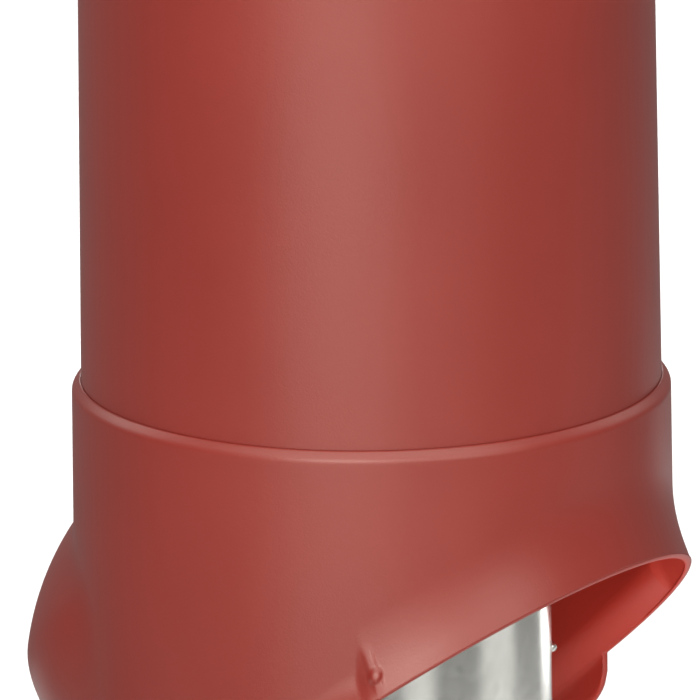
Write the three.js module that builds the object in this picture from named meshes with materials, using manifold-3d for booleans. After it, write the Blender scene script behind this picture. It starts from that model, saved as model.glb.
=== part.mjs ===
// A roof vent pipe for a sloped roof, in millimetres, +Z up, uphill along +X.
// A red moulded outer shell stands over the roof. A red skirt is sleeved over its lower end and is
// cut along the roof's slope, with a flared lip and a domed pocket on the downhill side. A plain
// galvanised duct runs through the middle and stands on its own lower end, and a ring under the
// shell holds it centred.
// The origin is under the middle of the outline, so the pipe's axis stands a little uphill of it.
import * as THREE from "three";
import { mergeVertices } from "three/addons/utils/BufferGeometryUtils.js";
import Module from "manifold-3d";

const wasm = await Module();
wasm.setup();

const RED = 0x9a352f;
const STEEL = 0xb9bbb6;

const SIDES = 72;
const GAP = 0.3;

// The pocket reaches further downhill than the lip does uphill, by twice this
const AXIS_X = 8.7;

// Heights along the pipe's axis
const TOTAL_HEIGHT = 750;
const ROOF_Z = 250;
const SKIRT_TOP_Z = 392.5;
const SHELL_LOW_Z = 352.5;
const SHELL_TOP_Z = 747;

// Outer shell
const SHELL_R = 103;
const SHELL_DRAFT = 0.0085;
const SHELL_WALL = 3;
const SHELL_TOP_ROUND = 5;

// Inner duct
const DUCT_R = 63;
const DUCT_WALL = 0.8;

// Ring that closes the shell's lower end round the duct
const RING_PLATE = 4;
const RING_SLEEVE = 14;
const RING_SLEEVE_WALL = 3;

// Skirt: collar, lip along the cut, and pocket
const SLOPE = Math.atan(0.787);
const COLLAR_R = 106.3;
const COLLAR_DRAFT = 0.006;
const SKIRT_WALL = 2.5;
const COLLAR_BEVEL = 2.6;
const COLLAR_BEVEL_HEIGHT = 3;
const LIP_R = 113.1;
const LIP_HEIGHT = 18;
const LOW_LIP_HEIGHT = 9;
const LIP_STEP_ANGLE = (54 * Math.PI) / 180;
const LIP_BLEND = 0.67;
const POCKET_WALL_R = 88.5;
const POCKET_DOME_R = 103.2;
const POCKET_DOME_RISE = 31.6;
const POCKET_SHIFT = 7.8;
const POCKET_EDGE_BLEND = 8;
const POCKET_TOP_Z = 350;
const POCKET_TOP_BLEND = 4;
const POCKET_BLEND_GROWTH = 13;
const OUTER_ROWS = 22;
const INNER_ROWS = 16;

// Lugs that hang below the rim on both sides
const LUG_UPHILL_X = 21.2;
const LUG_DOWNHILL_X = -20;
const LUG_DEPTH = 15;
const LUG_CORNER = 8;
const LUG_OUTER_R = 112.2;
const LUG_WALL = 2.3;
const LUG_ROOT = 1.5;

const shellRadius = (z) => SHELL_R + SHELL_DRAFT * (SKIRT_TOP_Z - z);
const roofHeight = (x) => ROOF_Z + Math.tan(SLOPE) * x;

// Smooth versions of min and max, which round the corner over the width blend
function softMin(a, b, blend) {
  const h = Math.max(blend - Math.abs(a - b), 0) / blend;
  return Math.min(a, b) - (h * h * blend) / 4;
}

const softMax = (a, b, blend) => -softMin(-a, -b, blend);

// Distance from the pipe's axis to the pocket: a round wall square to the roof under a shallow dome,
// both round one line that meets the roof a little downhill of the pipe's axis
function pocketRadius(angle, z) {
  const up = z - ROOF_Z;
  const cosA = Math.cos(angle);
  const sinA = Math.sin(angle);
  const tilt = up * Math.sin(SLOPE) + POCKET_SHIFT * Math.cos(SLOPE);
  const a = (cosA * Math.cos(SLOPE)) ** 2 + sinA ** 2;
  const b = 2 * cosA * Math.cos(SLOPE) * tilt;
  const c = tilt ** 2 - POCKET_WALL_R ** 2;
  const wall = (-b + Math.sqrt(Math.max(b * b - 4 * a * c, 0))) / (2 * a);

  const domeX = -POCKET_SHIFT - POCKET_DOME_RISE * Math.sin(SLOPE);
  const domeZ = POCKET_DOME_RISE * Math.cos(SLOPE);
  const along = domeX * cosA;
  const reach = along ** 2 + POCKET_DOME_R ** 2 - domeX ** 2 - (up - domeZ) ** 2;
  const dome = reach > 0 ? along + Math.sqrt(reach) : 0;
  return softMin(wall, dome, POCKET_EDGE_BLEND);
}

// The lip is tall on the uphill side and ends in a step on each side, and past it a low lip goes on
const lipHeight = (angle) =>
  Math.cos(angle) > Math.cos(LIP_STEP_ANGLE) ? LIP_HEIGHT : LOW_LIP_HEIGHT;

// The skirt's outer radius: collar, lip that flares out towards the rim, and pocket, whose foot
// runs into the collar more and more softly further down
function skirtRadius(angle, z) {
  const rim = roofHeight(LIP_R * Math.cos(angle));
  const height = lipHeight(angle);
  const flare = softMax(height - Math.max(z - rim, 0), 0, LIP_BLEND * height) / height;
  const straight = COLLAR_R + COLLAR_DRAFT * (SKIRT_TOP_Z - z);
  const collar = straight + (LIP_R - straight) * flare;
  const drop = Math.max((POCKET_TOP_Z - z) / (POCKET_TOP_Z - ROOF_Z), 0);
  const blend = POCKET_TOP_BLEND + POCKET_BLEND_GROWTH * drop ** 3;
  return softMax(collar, pocketRadius(angle, z), blend);
}

// The skirt's bore: an even wall below, and a close fit on the shell above
function skirtBore(angle, z) {
  const inside = skirtRadius(angle, z) - SKIRT_WALL;
  return z < SHELL_LOW_Z - GAP ? inside : Math.min(inside, shellRadius(z) + GAP);
}

// Turns a closed profile of [radius, height] pairs round the pipe's axis
function turned(profile) {
  const points = profile.map(([r, z]) => new THREE.Vector2(r, z));
  points.push(points[0].clone());
  return new THREE.LatheGeometry(points, SIDES).rotateX(Math.PI / 2);
}

function toManifold(geometry) {
  const bare = geometry.clone();
  bare.deleteAttribute("normal");
  bare.deleteAttribute("uv");
  const merged = mergeVertices(bare, 1e-4);
  const vertProperties = new Float32Array(merged.attributes.position.array);
  const triVerts = new Uint32Array(merged.index.array);
  return new wasm.Manifold(new wasm.Mesh({ numProp: 3, vertProperties, triVerts }));
}

function fromManifold(solid) {
  const mesh = solid.getMesh();
  const geometry = new THREE.BufferGeometry();
  geometry.setAttribute("position", new THREE.BufferAttribute(mesh.vertProperties, 3));
  geometry.setIndex(new THREE.BufferAttribute(mesh.triVerts, 1));
  geometry.computeVertexNormals();
  return geometry;
}

// A wall from the rim up the outside, over the top edge and down the bore, one loop for each angle
function skirtWall() {
  const loops = [];
  for (let i = 0; i < SIDES; i += 1) {
    const angle = (i / SIDES) * 2 * Math.PI;
    const cosA = Math.cos(angle);
    const loop = [];
    const bevelZ = SKIRT_TOP_Z - COLLAR_BEVEL_HEIGHT;
    const outerFoot = roofHeight(LIP_R * cosA);
    for (let row = 0; row <= OUTER_ROWS; row += 1) {
      const z = outerFoot + (bevelZ - outerFoot) * (row / OUTER_ROWS) ** 1.15;
      loop.push([skirtRadius(angle, z), z]);
    }
    loop.push([COLLAR_R - COLLAR_BEVEL, SKIRT_TOP_Z]);
    loop.push([shellRadius(SKIRT_TOP_Z) + GAP, SKIRT_TOP_Z]);
    const innerR = LIP_R - SKIRT_WALL;
    const innerFoot = roofHeight(innerR * cosA);
    loop.push([shellRadius(SHELL_LOW_Z) + GAP, SHELL_LOW_Z]);
    for (let row = INNER_ROWS; row > 0; row -= 1) {
      const z = innerFoot + (SHELL_LOW_Z - 2 - innerFoot) * (row / INNER_ROWS) ** 1.15;
      loop.push([skirtBore(angle, z), z]);
    }
    loop.push([innerR, innerFoot]);
    loops.push(loop.map(([r, z]) => [r * cosA, r * Math.sin(angle), z]));
  }
  const rows = loops[0].length;
  const index = [];
  for (let i = 0; i < SIDES; i += 1) {
    const next = (i + 1) % SIDES;
    for (let row = 0; row < rows; row += 1) {
      const above = (row + 1) % rows;
      const a = i * rows + row;
      const b = next * rows + row;
      const c = next * rows + above;
      const d = i * rows + above;
      index.push(a, b, c, a, c, d);
    }
  }
  const geometry = new THREE.BufferGeometry();
  geometry.setAttribute("position", new THREE.Float32BufferAttribute(loops.flat(2), 3));
  geometry.setIndex(index);
  return geometry;
}

// Both lugs at once: a rounded blade seen from the side, across the pipe, kept where a thin ring is
function lugs() {
  const top = (x) => roofHeight(x) + LUG_ROOT;
  const low = (x) => roofHeight(x) - LUG_DEPTH;
  const blade = new THREE.Shape();
  blade.moveTo(LUG_DOWNHILL_X, top(LUG_DOWNHILL_X));
  blade.lineTo(LUG_DOWNHILL_X, low(LUG_DOWNHILL_X) + LUG_CORNER);
  const downhillTurn = LUG_DOWNHILL_X + LUG_CORNER;
  blade.quadraticCurveTo(LUG_DOWNHILL_X, low(LUG_DOWNHILL_X), downhillTurn, low(downhillTurn));
  const uphillTurn = LUG_UPHILL_X - LUG_CORNER;
  blade.lineTo(uphillTurn, low(uphillTurn));
  blade.quadraticCurveTo(
    LUG_UPHILL_X,
    low(LUG_UPHILL_X),
    LUG_UPHILL_X,
    low(LUG_UPHILL_X) + LUG_CORNER,
  );
  blade.lineTo(LUG_UPHILL_X, top(LUG_UPHILL_X));
  blade.closePath();
  const width = 4 * LIP_R;
  const across = new THREE.ExtrudeGeometry(blade, {
    depth: width,
    bevelEnabled: false,
    curveSegments: 5,
  });
  across.translate(0, 0, -width / 2).rotateX(Math.PI / 2);
  const ring = turned([
    [LUG_OUTER_R - LUG_WALL, 0],
    [LUG_OUTER_R, 0],
    [LUG_OUTER_R, SKIRT_TOP_Z],
    [LUG_OUTER_R - LUG_WALL, SKIRT_TOP_Z],
  ]);
  return toManifold(across).intersect(toManifold(ring));
}

function skirt() {
  return fromManifold(toManifold(skirtWall()).add(lugs()));
}

// The shell is open below, and its top is turned in to meet the duct
function outerShell() {
  const topR = shellRadius(SHELL_TOP_Z);
  const profile = [
    [shellRadius(SHELL_LOW_Z) - SHELL_WALL, SHELL_LOW_Z],
    [shellRadius(SHELL_LOW_Z), SHELL_LOW_Z],
  ];
  const steps = 5;
  for (let i = 0; i <= steps; i += 1) {
    const turn = (i / steps) * (Math.PI / 2);
    const r = topR - SHELL_TOP_ROUND * (1 - Math.cos(turn));
    const z = SHELL_TOP_Z - SHELL_TOP_ROUND * (1 - Math.sin(turn));
    profile.push([r, z]);
  }
  profile.push([DUCT_R + GAP, SHELL_TOP_Z]);
  profile.push([DUCT_R + GAP, SHELL_TOP_Z - SHELL_WALL]);
  profile.push([topR - SHELL_WALL, SHELL_TOP_Z - SHELL_WALL]);
  return turned(profile);
}

function innerDuct() {
  return turned([
    [DUCT_R - DUCT_WALL, 0],
    [DUCT_R, 0],
    [DUCT_R, TOTAL_HEIGHT],
    [DUCT_R - DUCT_WALL, TOTAL_HEIGHT],
  ]);
}

// A flat plate inside the shell's lower end with a short sleeve up along the duct
function baseRing() {
  const rimR = shellRadius(SHELL_LOW_Z) - SHELL_WALL - GAP - SHELL_DRAFT * RING_PLATE;
  const boreR = DUCT_R + GAP;
  return turned([
    [boreR, SHELL_LOW_Z],
    [rimR, SHELL_LOW_Z],
    [rimR, SHELL_LOW_Z + RING_PLATE],
    [boreR + RING_SLEEVE_WALL, SHELL_LOW_Z + RING_PLATE],
    [boreR + RING_SLEEVE_WALL, SHELL_LOW_Z + RING_SLEEVE],
    [boreR, SHELL_LOW_Z + RING_SLEEVE],
  ]);
}

const plastic = new THREE.MeshStandardMaterial({ color: RED, roughness: 0.55, metalness: 0 });
const galvanised = new THREE.MeshStandardMaterial({ color: STEEL, roughness: 0.35, metalness: 1 });

function named(name, geometry, material) {
  const mesh = new THREE.Mesh(geometry, material);
  mesh.name = name;
  return mesh;
}

const vent = new THREE.Group();
vent.position.x = AXIS_X;
vent.add(named("outer_shell", outerShell(), plastic));
vent.add(named("skirt", skirt(), plastic));
vent.add(named("base_ring", baseRing(), plastic));
vent.add(named("inner_duct", innerDuct(), galvanised));

export default vent;
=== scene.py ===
# Roof vent pipe: a matt red plastic shell and skirt round a galvanised steel duct.
# A finer mesh takes the place of each CAD node, and the duct gets two rivet heads. All is in metres.
import math

import bpy
from mathutils import Matrix, Vector


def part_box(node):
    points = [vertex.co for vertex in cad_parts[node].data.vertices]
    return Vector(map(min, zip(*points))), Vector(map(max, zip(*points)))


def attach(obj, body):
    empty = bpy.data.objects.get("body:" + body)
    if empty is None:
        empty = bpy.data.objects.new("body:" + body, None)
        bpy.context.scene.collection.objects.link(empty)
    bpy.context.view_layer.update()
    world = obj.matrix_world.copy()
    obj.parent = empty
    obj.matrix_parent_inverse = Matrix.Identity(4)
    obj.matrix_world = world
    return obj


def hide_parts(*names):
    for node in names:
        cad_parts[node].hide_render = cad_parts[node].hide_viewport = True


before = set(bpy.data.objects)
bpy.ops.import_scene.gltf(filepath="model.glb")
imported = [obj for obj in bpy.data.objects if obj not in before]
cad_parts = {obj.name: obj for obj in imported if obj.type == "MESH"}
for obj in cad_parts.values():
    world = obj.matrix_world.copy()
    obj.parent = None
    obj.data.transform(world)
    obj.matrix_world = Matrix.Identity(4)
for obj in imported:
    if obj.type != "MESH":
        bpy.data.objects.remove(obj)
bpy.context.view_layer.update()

MM = 0.001

# Places from the frame
duct_lo, duct_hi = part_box("inner_duct")
shell_lo, shell_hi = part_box("outer_shell")
skirt_lo, skirt_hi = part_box("skirt")
ring_lo, ring_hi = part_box("base_ring")
AXIS_X = (duct_lo[0] + duct_hi[0]) / 2
DUCT_R = (duct_hi[0] - duct_lo[0]) / 2
SHELL_LOW_R = (shell_hi[0] - shell_lo[0]) / 2
LIP_R = (skirt_hi[1] - skirt_lo[1]) / 2

# Gap between pieces that touch
GAP = 0.3 * MM

# Sides of a round piece, and steps round one of its small edges
ROUND_SIDES = 256
EDGE_STEPS = 3

# Shell
SHELL_DRAFT = 0.0085
SHELL_WALL = 3 * MM
SHELL_TOP_ROUND = 5 * MM
SHELL_EDGE = 0.6 * MM
SHELL_ROWS = 24
SHELL_TOP_STEPS = 10

# Ring between the shell and the duct
RING_PLATE = 4 * MM
RING_SLEEVE = 3 * MM
RING_EDGE = 0.5 * MM
RING_SIDES = 192

# Duct
DUCT_WALL = 0.8 * MM
RIVET_Z = 291 * MM
RIVET_R = 2 * MM
RIVET_PROUD = 1.9 * MM
RIVET_SIDES = 20
RIVET_RINGS = 6

# Skirt
ROOF_Z = 250 * MM
SLOPE = math.atan(0.787)
COLLAR_R = 106.3 * MM
COLLAR_DRAFT = 0.006
SKIRT_WALL = 2.5 * MM
COLLAR_BEVEL = 2.6 * MM
COLLAR_BEVEL_HEIGHT = 3 * MM
COLLAR_BEVEL_SOFT = 1.2 * MM
COLLAR_BRINK_SOFT = 0.15
LIP_HEIGHT = 18 * MM
LOW_LIP_HEIGHT = 9 * MM
LIP_BLEND = 0.67
RIM_ROUND = 0.8 * MM
POCKET_WALL_R = 88.5 * MM
POCKET_DOME_R = 103.2 * MM
POCKET_DOME_RISE = 31.6 * MM
POCKET_SHIFT = 7.8 * MM
POCKET_EDGE_BLEND = 8 * MM
POCKET_TOP_Z = 350 * MM
POCKET_TOP_BLEND = 4 * MM
POCKET_BLEND_GROWTH = 13 * MM
LUG_UPHILL_X = 21.2 * MM
LUG_DOWNHILL_X = -20 * MM
LUG_DEPTH = 15 * MM
LUG_CORNER = 8 * MM
LEDGE_HEIGHT = 2 * MM

# Step where the tall lip ends on each side, with a rib along it and a pip on the rib
STEP_FOOT_ANGLE = math.radians(51.5)
STEP_LEAN = 0.31
STEP_WIDTH = 7 * MM
RIB_HEIGHT = 23 * MM
RIB_HALF_WIDTH = 1.5 * MM
RIB_PROUD = 0.5 * MM
RIB_LOW_FADE = RIB_HEIGHT / 3
RIB_HIGH_FADE = RIB_HEIGHT / 2.5
RIB_REACH = 1.6
PIP_RISE = 9.1 * MM
PIP_HALF_WIDTH = 2.2 * MM
PIP_HALF_HEIGHT = 2.8 * MM
PIP_PROUD = 1.6 * MM
PIP_REACH = 1.4

# Columns and rows of the skirt's mesh, with the steps of the added columns as angles in radians
EVEN_COLUMNS = 300
LUG_COLUMNS = 6
LUG_COLUMN_STEP = 0.011
LUG_EDGE_HAIR = 0.00004
RIB_COLUMNS_UPHILL = 10
RIB_COLUMNS_DOWNHILL = 35
RIB_COLUMN_STEP = 0.0035
OUTER_ROWS = 90
INNER_ROWS = 56
LUG_ROWS = 5
ROW_CROWDING = 1.25
BEVEL_STEPS = 5
BRINK_STEPS = 3
RIM_STEPS = 6

# Camera: where it looks from and its roll are measured on the photograph, which is almost without
# perspective, so the distance is only chosen to be long
VIEW_AZIMUTH = math.radians(37.2)
VIEW_ELEVATION = math.radians(14.95)
VIEW_ROLL = math.radians(-0.75)
VIEW_DISTANCE = 6.0
VIEW_WIDTH = 248.4 * MM
VIEW_CENTRE_Z = 382.9 * MM
VIEW_SHIFT_LEFT = 7.45 * MM
VIEW_SHIFT_UP = 17.85 * MM
SENSOR_MM = 36.0

# Floor, with its mirrored sectors as (degrees to the right of the camera, degrees wide)
FLOOR_NEAR_R = 0.85
FLOOR_R = 40.0
FLOOR_SIDES = 96
FLOOR_BANDS = ((28, 22), (86, 30), (146, 18), (212, 26), (285, 34))


def shell_radius(z):
    return SHELL_LOW_R - SHELL_DRAFT * (z - shell_lo[2])


def roof_height(x):
    return ROOF_Z + math.tan(SLOPE) * x


def soft_min(a, b, blend):
    h = max(blend - abs(a - b), 0) / blend
    return min(a, b) - h * h * blend / 4


def soft_max(a, b, blend):
    return -soft_min(-a, -b, blend)


def pocket_radius(angle, z):
    """Distance from the pipe's axis to the pocket: a round wall square to the roof, under a dome."""
    up = z - ROOF_Z
    cos_a, sin_a = math.cos(angle), math.sin(angle)
    tilt = up * math.sin(SLOPE) + POCKET_SHIFT * math.cos(SLOPE)
    a = (cos_a * math.cos(SLOPE)) ** 2 + sin_a ** 2
    b = 2 * cos_a * math.cos(SLOPE) * tilt
    c = tilt ** 2 - POCKET_WALL_R ** 2
    wall = (-b + math.sqrt(max(b * b - 4 * a * c, 0))) / (2 * a)
    dome_x = -POCKET_SHIFT - POCKET_DOME_RISE * math.sin(SLOPE)
    dome_z = POCKET_DOME_RISE * math.cos(SLOPE)
    along = dome_x * cos_a
    reach = along ** 2 + POCKET_DOME_R ** 2 - dome_x ** 2 - (up - dome_z) ** 2
    dome = along + math.sqrt(reach) if reach > 0 else 0
    return soft_min(wall, dome, POCKET_EDGE_BLEND)


def smooth(t):
    t = min(max(t, 0), 1)
    return t * t * (3 - 2 * t)


def past_step(angle, rise):
    """Distance downhill of the line where the tall lip ends, at a height above the rim."""
    turn = abs(math.remainder(angle, 2 * math.pi))
    return (turn - STEP_FOOT_ANGLE) * LIP_R - STEP_LEAN * rise


def straight_radius(z):
    return COLLAR_R + COLLAR_DRAFT * (skirt_hi[2] - z)


def skirt_radius(angle, z):
    """The skirt's outer radius without its ribs."""
    rise = max(z - roof_height(LIP_R * math.cos(angle)), 0)
    fall = smooth(past_step(angle, rise) / STEP_WIDTH)
    height = LIP_HEIGHT + (LOW_LIP_HEIGHT - LIP_HEIGHT) * fall
    flare = soft_max(height - rise, 0, LIP_BLEND * height) / height
    collar = straight_radius(z) + (LIP_R - straight_radius(z)) * flare
    drop = max((POCKET_TOP_Z - z) / (POCKET_TOP_Z - ROOF_Z), 0)
    blend = POCKET_TOP_BLEND + POCKET_BLEND_GROWTH * drop ** 3
    return soft_max(collar, pocket_radius(angle, z), blend)


def rib(angle, z):
    """How far the rib, or its pip, stands proud of the lip."""
    rise = z - roof_height(LIP_R * math.cos(angle))
    if not 0 <= rise < RIB_HEIGHT:
        return 0
    past = past_step(angle, rise)
    ends = smooth(rise / RIB_LOW_FADE) * smooth((RIB_HEIGHT - rise) / RIB_HIGH_FADE)
    proud = RIB_PROUD * ends * smooth(RIB_REACH - abs(past) / RIB_HALF_WIDTH)
    reach = math.hypot(past / PIP_HALF_WIDTH, (rise - PIP_RISE) / PIP_HALF_HEIGHT)
    return max(proud, PIP_PROUD * smooth(PIP_REACH - reach))


def lug_depth(x):
    """How far the lugs hang below the rim at a place along the slope."""
    edge = min(x - LUG_DOWNHILL_X, LUG_UPHILL_X - x)
    if edge < 0:
        return 0
    short = max(LUG_CORNER - edge, 0)
    return LUG_DEPTH - LUG_CORNER + math.sqrt(LUG_CORNER ** 2 - short ** 2)


def new_piece(name, verts, faces, material):
    mesh = bpy.data.meshes.new(name)
    mesh.from_pydata([tuple(v) for v in verts], [], faces)
    mesh.validate()
    mesh.update()
    mesh.shade_smooth()
    mesh.materials.append(material)
    piece = bpy.data.objects.new(name, mesh)
    bpy.context.scene.collection.objects.link(piece)
    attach(piece, "root")
    return piece


def ring_faces(columns, rows):
    """Quads that join each column's closed loop of rows to the next column's."""
    faces = []
    for i in range(columns):
        after = (i + 1) % columns
        for row in range(rows):
            above = (row + 1) % rows
            faces.append((i * rows + row, after * rows + row, after * rows + above, i * rows + above))
    return faces


def turned(name, profile, sides, material):
    """A closed profile of (radius, height) pairs, counter-clockwise, turned round the pipe's axis."""
    verts = []
    for i in range(sides):
        angle = 2 * math.pi * i / sides
        for r, z in profile:
            verts.append((AXIS_X + r * math.cos(angle), r * math.sin(angle), z))
    return new_piece(name, verts, ring_faces(sides, len(profile)), material)


def corner(centre_r, centre_z, radius, start, end, steps):
    """Points of a round edge, with angles in degrees from outward to up."""
    points = []
    for i in range(steps + 1):
        a = math.radians(start + (end - start) * i / steps)
        points.append((centre_r + radius * math.cos(a), centre_z + radius * math.sin(a)))
    return points


def between(start, end, share):
    """The point that lies a share of the way from one point to another."""
    return tuple(a + share * (b - a) for a, b in zip(start, end))


def bend(start, corner_point, end, steps):
    """Points of a soft corner between two straight stretches."""
    points = []
    for i in range(steps + 1):
        t = i / steps
        points.append(between(between(start, corner_point, t), between(corner_point, end, t), t))
    return points


def spaced(start, end, count):
    """Even steps from start to end, without the two ends."""
    return [start + (end - start) * i / count for i in range(1, count)]


# Materials

def node_material(name):
    material = bpy.data.materials.new(name)
    material.use_nodes = True
    nodes = material.node_tree.nodes
    return material, nodes, material.node_tree.links, nodes["Principled BSDF"]


def object_coords(nodes):
    """The place on the object, from a node that is made on first use."""
    coords = nodes.get("coords") or nodes.new("ShaderNodeTexCoord")
    coords.name = "coords"
    return coords.outputs["Object"]


def noise(nodes, links, scale, detail):
    texture = nodes.new("ShaderNodeTexNoise")
    texture.inputs["Scale"].default_value = scale
    texture.inputs["Detail"].default_value = detail
    links.new(object_coords(nodes), texture.inputs["Vector"])
    return texture


def ramp(nodes, links, source, low, high, at_low=0.35, at_high=0.65):
    node = nodes.new("ShaderNodeValToRGB")
    node.color_ramp.elements[0].position = at_low
    node.color_ramp.elements[0].color = (*low, 1)
    node.color_ramp.elements[1].position = at_high
    node.color_ramp.elements[1].color = (*high, 1)
    links.new(source, node.inputs["Fac"])
    return node


def bump(nodes, links, source, distance, strength, below=None):
    node = nodes.new("ShaderNodeBump")
    node.inputs["Distance"].default_value = distance
    node.inputs["Strength"].default_value = strength
    links.new(source, node.inputs["Height"])
    if below:
        links.new(below.outputs["Normal"], node.inputs["Normal"])
    return node


def grey(value):
    return (value, value, value)


def red_plastic():
    """Matt brick-red moulded plastic with a fine grain and faint cloudiness."""
    material, nodes, links, shader = node_material("red_plastic")
    cloud = noise(nodes, links, scale=9, detail=3)
    colour = ramp(nodes, links, cloud.outputs["Fac"], (0.18, 0.0110, 0.0065), (0.20, 0.0125, 0.0075))
    links.new(colour.outputs["Color"], shader.inputs["Base Color"])
    gloss = ramp(nodes, links, cloud.outputs["Fac"], grey(0.40), grey(0.44))
    links.new(gloss.outputs["Color"], shader.inputs["Roughness"])
    shader.inputs["IOR"].default_value = 1.65
    shader.inputs["Specular Tint"].default_value = (1.0, 0.96, 0.84, 1)
    grain = noise(nodes, links, scale=1400, detail=2)
    wave = noise(nodes, links, scale=60, detail=2)
    fine = bump(nodes, links, grain.outputs["Fac"], distance=0.2 * MM, strength=0.2)
    broad = bump(nodes, links, wave.outputs["Fac"], distance=0.6 * MM, strength=0.08, below=fine)
    links.new(broad.outputs["Normal"], shader.inputs["Normal"])
    return material


def galvanised_steel():
    """Dull zinc on smooth sheet, with a fine spangle of crystals that hardly shows."""
    material, nodes, links, shader = node_material("galvanised_steel")
    shader.inputs["Metallic"].default_value = 0.92
    spangle = nodes.new("ShaderNodeTexVoronoi")
    spangle.inputs["Scale"].default_value = 260
    links.new(object_coords(nodes), spangle.inputs["Vector"])
    crystal = spangle.outputs["Color"]
    colour = ramp(nodes, links, crystal, (0.58, 0.58, 0.54), (0.64, 0.64, 0.595), at_low=0.1, at_high=0.9)
    links.new(colour.outputs["Color"], shader.inputs["Base Color"])
    gloss = ramp(nodes, links, crystal, grey(0.19), grey(0.23), at_low=0.1, at_high=0.9)
    links.new(gloss.outputs["Color"], shader.inputs["Roughness"])
    wave = noise(nodes, links, scale=25, detail=2)
    dents = bump(nodes, links, wave.outputs["Fac"], distance=0.8 * MM, strength=0.1)
    links.new(dents.outputs["Normal"], shader.inputs["Normal"])
    return material


# Pieces

def make_shell(material):
    top = shell_hi[2]
    low = shell_lo[2]
    top_r = shell_radius(top)
    edge = SHELL_EDGE
    web_r = DUCT_R + GAP
    round_z = top - SHELL_TOP_ROUND
    profile = corner(shell_radius(low) - edge, low + edge, edge, -90, 0, EDGE_STEPS)
    profile += [(shell_radius(z), z) for z in spaced(low + edge, round_z, SHELL_ROWS)]
    profile += corner(top_r - SHELL_TOP_ROUND, round_z, SHELL_TOP_ROUND, 0, 90, SHELL_TOP_STEPS)
    profile += corner(web_r + edge, top - edge, edge, 90, 180, EDGE_STEPS)
    profile += [(web_r, top - SHELL_WALL)]
    inner_top = top_r - SHELL_WALL
    inner_low = shell_radius(low) - SHELL_WALL
    profile += [(inner_top - SHELL_WALL, top - SHELL_WALL), (inner_top, top - 2 * SHELL_WALL)]
    profile += corner(inner_low + edge, low + edge, edge, 180, 270, EDGE_STEPS)
    piece = turned("outer_shell_moulding", profile, ROUND_SIDES, material)
    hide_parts("outer_shell")


def make_ring(material):
    low, top = ring_lo[2], ring_hi[2]
    rim = (ring_hi[0] - ring_lo[0]) / 2
    bore = DUCT_R + GAP
    outside = bore + RING_SLEEVE
    edge = RING_EDGE
    profile = corner(rim - edge, low + edge, edge, -90, 0, EDGE_STEPS)
    profile += corner(rim - edge, low + RING_PLATE - edge, edge, 0, 90, EDGE_STEPS)
    profile += [(outside, low + RING_PLATE)]
    profile += corner(outside - edge, top - edge, edge, 0, 90, EDGE_STEPS)
    profile += corner(bore + edge, top - edge, edge, 90, 180, EDGE_STEPS)
    profile += corner(bore + edge, low + edge, edge, 180, 270, EDGE_STEPS)
    piece = turned("base_ring_moulding", profile, RING_SIDES, material)
    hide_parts("base_ring")


def make_duct(material):
    low, top = duct_lo[2], duct_hi[2]
    edge = DUCT_WALL / 2
    middle = DUCT_R - edge
    profile = corner(middle, low + edge, edge, -90, 0, EDGE_STEPS)
    profile += corner(middle, top - edge, edge, 0, 180, 2 * EDGE_STEPS)
    profile += corner(middle, low + edge, edge, 180, 270, EDGE_STEPS)[:-1]
    piece = turned("duct_tube", profile, ROUND_SIDES, material)
    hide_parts("inner_duct")


def make_rivet(name, angle, material):
    """A low domed rivet head on the duct."""
    out = Vector((math.cos(angle), math.sin(angle), 0))
    across = Vector((-math.sin(angle), math.cos(angle), 0))
    up = Vector((0, 0, 1))
    base = Vector((AXIS_X, 0, RIVET_Z)) + out * (DUCT_R - DUCT_WALL / 2)
    height = RIVET_PROUD + DUCT_WALL / 2
    verts = []
    for ring in range(RIVET_RINGS):
        rise = math.radians(90 * ring / RIVET_RINGS)
        for i in range(RIVET_SIDES):
            turn = 2 * math.pi * i / RIVET_SIDES
            spoke = (across * math.cos(turn) + up * math.sin(turn)) * RIVET_R
            verts.append(base + spoke * math.cos(rise) + out * height * math.sin(rise))
    last = (RIVET_RINGS - 1) * RIVET_SIDES
    faces = [tuple(reversed(range(RIVET_SIDES))), tuple(range(last, last + RIVET_SIDES))]
    for ring in range(0, last, RIVET_SIDES):
        for i in range(RIVET_SIDES):
            a = ring + i
            b = ring + (i + 1) % RIVET_SIDES
            faces.append((a, b, b + RIVET_SIDES, a + RIVET_SIDES))
    new_piece(name, verts, faces, material)


def skirt_angles():
    """Even steps all round, with more at the ribs and at the lugs' upright edges."""
    angles = {round(2 * math.pi * i / EVEN_COLUMNS, 6) for i in range(EVEN_COLUMNS)}
    added = []
    for x, inward in ((LUG_UPHILL_X, 1), (LUG_DOWNHILL_X, -1)):
        edge = math.acos(x / LIP_R)
        added += [edge - LUG_EDGE_HAIR, edge + LUG_EDGE_HAIR]
        added += [edge + inward * step * LUG_COLUMN_STEP for step in range(1, LUG_COLUMNS + 1)]
    for step in range(-RIB_COLUMNS_UPHILL, RIB_COLUMNS_DOWNHILL + 1):
        added.append(STEP_FOOT_ANGLE + step * RIB_COLUMN_STEP)
    for angle in added:
        angles.add(round(angle, 6))
        angles.add(round(2 * math.pi - angle, 6))
    return sorted(angles)


def outside_rows(angle, rim, foot):
    """Up the outside, from the lug's foot to where the collar's bevel starts."""
    points = []
    for row in range(LUG_ROWS):
        points.append((LIP_R, foot + RIM_ROUND + (rim - foot) * row / LUG_ROWS))
    lowest = rim + RIM_ROUND
    highest = skirt_hi[2] - COLLAR_BEVEL_HEIGHT - COLLAR_BEVEL_SOFT
    for row in range(OUTER_ROWS + 1):
        z = lowest + (highest - lowest) * (row / OUTER_ROWS) ** ROW_CROWDING
        points.append((skirt_radius(angle, z) + rib(angle, z), z))
    return points


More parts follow.
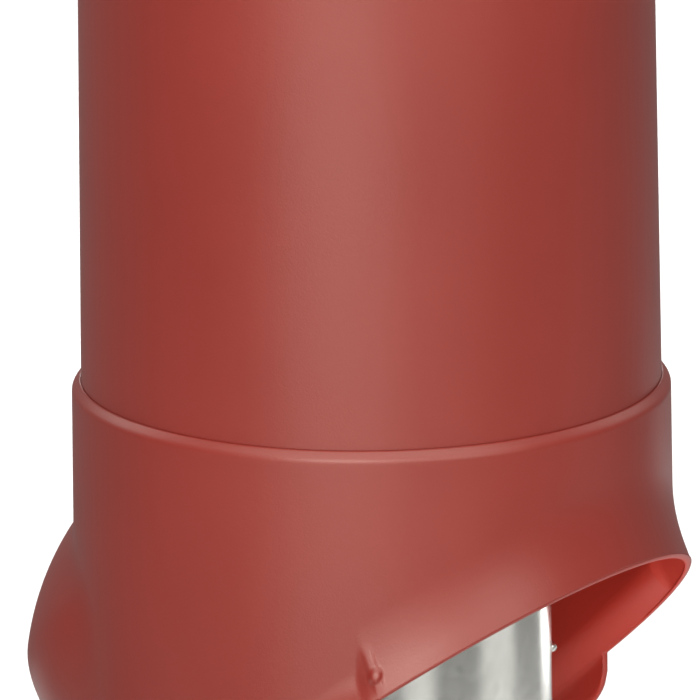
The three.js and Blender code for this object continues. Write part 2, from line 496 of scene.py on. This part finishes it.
def top_rows(start):
    """Over the soft bevel and the top edge, and down the bore to the shell's lower end."""
    top = skirt_hi[2]
    bevel_z = top - COLLAR_BEVEL_HEIGHT
    edge = (straight_radius(bevel_z), bevel_z)
    brink = (COLLAR_R - COLLAR_BEVEL, top)
    bevel = between(edge, brink, COLLAR_BEVEL_SOFT / COLLAR_BEVEL_HEIGHT)
    points = bend(start, edge, bevel, BEVEL_STEPS)[1:]
    bore_top = (shell_radius(top) + GAP / 3, top)
    points += bend(between(brink, edge, COLLAR_BRINK_SOFT), brink, bore_top, BRINK_STEPS)
    points.append((shell_radius(shell_lo[2]) + GAP, shell_lo[2]))
    return points


def inside_rows(angle, rim, foot):
    """Down the inside, from the foot of the ledge under the shell to the lug's foot."""
    points = []
    lowest = rim + RIM_ROUND
    highest = shell_lo[2] - LEDGE_HEIGHT
    for row in range(INNER_ROWS, -1, -1):
        z = lowest + (highest - lowest) * (row / INNER_ROWS) ** ROW_CROWDING
        points.append((skirt_radius(angle, z) - SKIRT_WALL, z))
    for row in range(LUG_ROWS - 1, -1, -1):
        points.append((LIP_R - SKIRT_WALL, foot + RIM_ROUND + (rim - foot) * row / LUG_ROWS))
    return points


def rim_rows(angle, depth):
    """Round the lower edge, from the inside to the outside."""
    points = []
    for step in range(1, RIM_STEPS):
        turn = math.pi * step / RIM_STEPS
        r = LIP_R - SKIRT_WALL / 2 - (SKIRT_WALL / 2) * math.cos(turn)
        ground = roof_height(r * math.cos(angle)) - depth
        points.append((r, ground + RIM_ROUND * (1 - math.sin(turn))))
    return points


def skirt_column(angle):
    """One closed loop of (radius, height) pairs at an angle round the pipe."""
    depth = lug_depth(LIP_R * math.cos(angle))
    rim = roof_height(LIP_R * math.cos(angle))
    column = outside_rows(angle, rim, rim - depth)
    column += top_rows(column[-1])
    inner_rim = roof_height((LIP_R - SKIRT_WALL) * math.cos(angle))
    column += inside_rows(angle, inner_rim, inner_rim - depth)
    return column + rim_rows(angle, depth)


def make_skirt(material):
    angles = skirt_angles()
    verts = []
    for angle in angles:
        column = skirt_column(angle)
        for r, z in column:
            verts.append((AXIS_X + r * math.cos(angle), r * math.sin(angle), z))
    faces = ring_faces(len(angles), len(column))
    piece = new_piece("skirt_moulding", verts, faces, material)
    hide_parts("skirt")


red = red_plastic()
steel = galvanised_steel()
make_shell(red)
make_ring(red)
make_duct(steel)
make_rivet("rivet_right", VIEW_AZIMUTH, steel)
make_rivet("rivet_left", VIEW_AZIMUTH + math.pi, steel)
make_skirt(red)


# Floor, light and camera

def direction(azimuth, elevation):
    """Unit vector from the object towards a viewer at this azimuth and elevation."""
    flat = math.cos(elevation)
    return Vector((math.sin(azimuth) * flat, -math.cos(azimuth) * flat, math.sin(elevation)))


def camera_right():
    return Vector((math.cos(VIEW_AZIMUTH), math.sin(VIEW_AZIMUTH), 0))


def floor_verts():
    """The point under the pipe's axis, then a circle near the pipe, then one far off."""
    verts = [(AXIS_X, 0, 0)]
    for radius in (FLOOR_NEAR_R, FLOOR_R):
        for i in range(FLOOR_SIDES):
            spoke = direction(VIEW_AZIMUTH + 2 * math.pi * i / FLOOR_SIDES, 0) * radius
            verts.append((AXIS_X + spoke.x, spoke.y, 0))
    return verts


def make_floor():
    """Pale paper. Only a few sectors near the pipe show in reflections, as light bands in the duct."""
    material, _, _, shader = node_material("floor_paper")
    shader.inputs["Base Color"].default_value = (0.86, 0.86, 0.85, 1)
    shader.inputs["Roughness"].default_value = 0.9
    bands = []
    paper = []
    for i in range(FLOOR_SIDES):
        after = (i + 1) % FLOOR_SIDES
        middle = 360 * (i + 0.5) / FLOOR_SIDES
        mirrored = any(abs(middle - centre) < width / 2 for centre, width in FLOOR_BANDS)
        sector = (0, 1 + i, 1 + after)
        if mirrored:
            bands.append(sector)
        else:
            paper.append(sector)
        far = 1 + FLOOR_SIDES
        paper.append((1 + i, far + i, far + after, 1 + after))
    for name, faces in (("floor_bands", bands), ("floor_paper", paper)):
        mesh = bpy.data.meshes.new(name)
        mesh.from_pydata(floor_verts(), [], faces)
        mesh.materials.append(material)
        floor = bpy.data.objects.new(name, mesh)
        floor.visible_glossy = name == "floor_bands"
        bpy.context.scene.collection.objects.link(floor)


def area_light(name, aim, angle_right, elevation, distance, size, radiance, mirrored=True):
    """A soft rectangular light that faces a point, from an angle to the right of the camera.

    The point is given by how far it is to the right of the axis, behind the axis and above the floor.
    A light that isn't mirrored shows in no reflection.
    """
    beside, behind, height = aim
    light = bpy.data.lights.new(name, "AREA")
    light.shape = "RECTANGLE"
    light.size, light.size_y = size
    light.energy = radiance * math.pi * size[0] * size[1]
    lamp = bpy.data.objects.new(name, light)
    target = Vector((AXIS_X, 0, height)) + camera_right() * beside - direction(VIEW_AZIMUTH, 0) * behind
    back = direction(VIEW_AZIMUTH + math.radians(angle_right), math.radians(elevation))
    lamp.location = target + back * distance
    lamp.rotation_mode = "QUATERNION"
    lamp.rotation_quaternion = (-back).to_track_quat("-Z", "Y")
    lamp.visible_camera = False
    lamp.visible_glossy = mirrored
    bpy.context.scene.collection.objects.link(lamp)


def make_lights():
    world = bpy.data.worlds.new("studio")
    world.use_nodes = True
    sky = world.node_tree.nodes["Background"]
    sky.inputs["Color"].default_value = (1.0, 0.99, 0.98, 1)
    sky.inputs["Strength"].default_value = 0.27
    bpy.context.scene.world = world
    area_light("backdrop", (0, 1.45, 0), 180, 75, 1.1, (0.7, 1.3), 5.5)
    area_light("front_low", (0, 0, 0.35), -12, -3, 1.15, (0.9, 0.5), 2.1)
    area_light("front_high", (0, 0, 0.4), -12, 28, 1.8, (1.0, 0.9), 8.0)
    area_light("above", (0, 0, 0.4), 0, 67, 1.8, (2.8, 0.6), 4.0)
    area_light("right", (0, 0, 0.4), 34, 22, 1.8, (0.9, 1.3), 2.7)
    area_light("back_left", (0, 0, 0.4), -120, 33, 1.9, (0.9, 0.9), 2.4)
    area_light("back_right", (0, 0, 0.4), 120, 33, 1.9, (0.9, 0.9), 1.6)
    area_light("floor_front", (0, 0, 0.04), 28, 0, 0.95, (0.38, 0.07), 1.1)
    area_light("floor_right", (0, 0, 0.04), 86, 0, 0.95, (0.5, 0.07), 1.2)
    area_light("floor_back", (0, 0, 0.04), 146, 0, 0.95, (0.3, 0.07), 4.0)
    area_light("under", (0.072, 0, 0.28), 5, -45, 0.08, (0.05, 0.05), 45.0, mirrored=False)


def make_camera():
    data = bpy.data.cameras.new("camera")
    data.sensor_width = SENSOR_MM
    data.lens = SENSOR_MM * VIEW_DISTANCE / VIEW_WIDTH
    data.clip_start = 0.1
    data.clip_end = 200
    camera = bpy.data.objects.new("camera", data)
    back = direction(VIEW_AZIMUTH, VIEW_ELEVATION)
    right = camera_right()
    up = back.cross(right)
    target = Vector((AXIS_X, 0, VIEW_CENTRE_Z)) - right * VIEW_SHIFT_LEFT + up * VIEW_SHIFT_UP
    level = (-back).to_track_quat("-Z", "Y").to_matrix().to_4x4()
    roll = Matrix.Rotation(VIEW_ROLL, 4, "Z")
    camera.matrix_world = Matrix.Translation(target + back * VIEW_DISTANCE) @ level @ roll
    bpy.context.scene.collection.objects.link(camera)
    bpy.context.scene.camera = camera


make_floor()
make_lights()
make_camera()
bpy.context.scene.view_settings.view_transform = "Standard"
